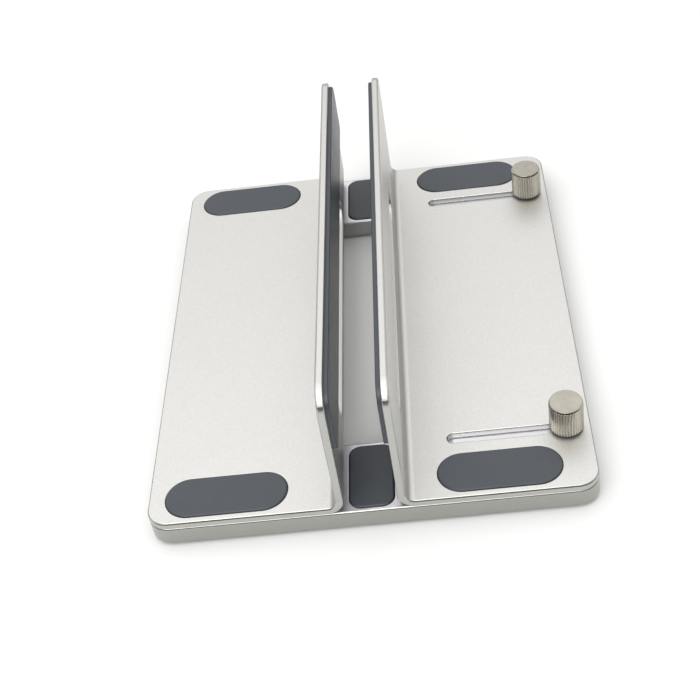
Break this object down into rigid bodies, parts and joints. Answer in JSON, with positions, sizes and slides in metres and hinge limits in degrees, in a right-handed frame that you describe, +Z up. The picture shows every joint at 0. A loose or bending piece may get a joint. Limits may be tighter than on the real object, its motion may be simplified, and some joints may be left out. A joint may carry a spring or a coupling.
{
  "type": "vertical laptop stand",
  "caption": "Desk stand that holds a closed laptop on edge between two lined folded walls on a windowed base plate; one wall slides and is clamped by knurled thumb screws.",
  "frame": {"origin": "middle of the stand's footprint, on the desk surface that the feet stand on", "axes": "+Z up; +X from the fixed bracket towards the sliding bracket and its thumb screws; +Y along the gap from the front to the rear"},
  "size_m": [0.145, 0.18, 0.059],
  "materials": {
    "plate_aluminium": "milled plate, fine bead blasted and clear anodised",
    "sheet_aluminium": "folded sheet, fine bead blasted and clear anodised",
    "silicone": "moulded, matt",
    "plated_knob": "turned, straight knurled and nickel plated",
    "washer_black": "moulded, matt black",
    "screw_steel": "zinc plated"
  },
  "bodies": {
    "base": {"base_frame": "plate_aluminium", "fixed_bracket": "sheet_aluminium", "fixed_wall_liner": "silicone", "fixed_flange_pad_front": "silicone", "fixed_flange_pad_rear": "silicone", "crossbar_pad_front": "silicone", "crossbar_pad_rear": "silicone", "foot_front_left": "silicone", "foot_front_right": "silicone", "foot_rear_left": "silicone", "foot_rear_right": "silicone", "bracket_screw_front_outer": "screw_steel", "bracket_screw_front_inner": "screw_steel", "bracket_screw_rear_outer": "screw_steel", "bracket_screw_rear_inner": "screw_steel"},
    "sliding_side": {"sliding_bracket": "sheet_aluminium", "sliding_wall_liner": "silicone", "sliding_flange_pad_front": "silicone", "sliding_flange_pad_rear": "silicone"},
    "front_washer": {"front_thumb_washer": "washer_black"},
    "front_screw": {"front_thumb_screw": "plated_knob"},
    "rear_washer": {"rear_thumb_washer": "washer_black"},
    "rear_screw": {"rear_thumb_screw": "plated_knob"}
  },
  "joints": [
    {"name": "bracket_slide", "type": "slide", "parent": "base", "child": "sliding_side", "axis": [1, 0, 0], "range_m": [0, 0.037]},
    {"name": "front_screw_rise", "type": "slide", "parent": "base", "child": "front_washer", "axis": [0, 0, 1], "range_m": [0, 0.0014]},
    {"name": "front_screw_turn", "type": "hinge", "parent": "front_washer", "child": "front_screw", "pos_m": [0.0645, -0.0645, 0.0118], "axis": [0, 0, 1], "range_deg": [0, 720]},
    {"name": "rear_screw_rise", "type": "slide", "parent": "base", "child": "rear_washer", "axis": [0, 0, 1], "range_m": [0, 0.0014]},
    {"name": "rear_screw_turn", "type": "hinge", "parent": "rear_washer", "child": "rear_screw", "pos_m": [0.0645, 0.0645, 0.0118], "axis": [0, 0, 1], "range_deg": [0, 720]}
  ],
  "couplings": [
    {"joint": "front_screw_rise", "follows": "front_screw_turn", "m_per_rad": 0.0001114},
    {"joint": "rear_screw_rise", "follows": "rear_screw_turn", "m_per_rad": 0.0001114}
  ]
}
